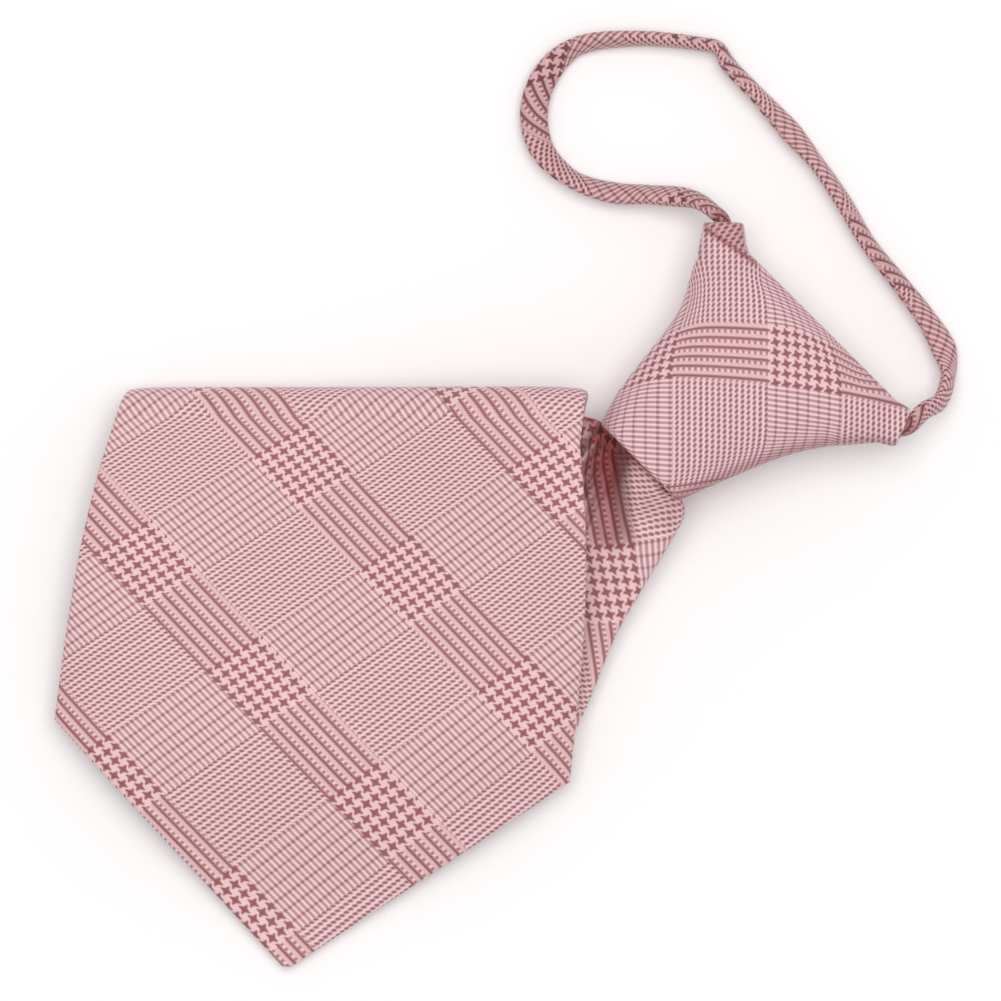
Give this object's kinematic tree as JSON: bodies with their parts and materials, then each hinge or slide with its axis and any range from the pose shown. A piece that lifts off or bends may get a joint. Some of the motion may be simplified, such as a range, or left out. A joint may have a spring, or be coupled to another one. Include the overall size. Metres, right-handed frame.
{
  "type": "zipper tie",
  "caption": "Pre-tied necktie lying folded, with a sewn knot, a gathered blade ending in a point, and a narrow neck loop drawn up by a hidden zip.",
  "frame": {"origin": "on the table, under the middle of the whole tie's box", "axes": "+X to the right and +Y up as the picture shows the tie from straight above, +Z up off the table"},
  "size_m": [0.1548, 0.1608, 0.0198],
  "materials": {
    "blade_cloth": "satin woven glen plaid in rose and pale pink",
    "knot_cloth": "satin woven glen plaid in rose and pale pink",
    "band_cloth": "twisted woven cloth tube in rose and pale pink",
    "zip": "matte coil zip on woven tape"
  },
  "bodies": {
    "root": {"blade": "blade_cloth", "knot": "knot_cloth", "neck_band": "band_cloth", "zipper": "zip"}
  },
  "joints": []
}
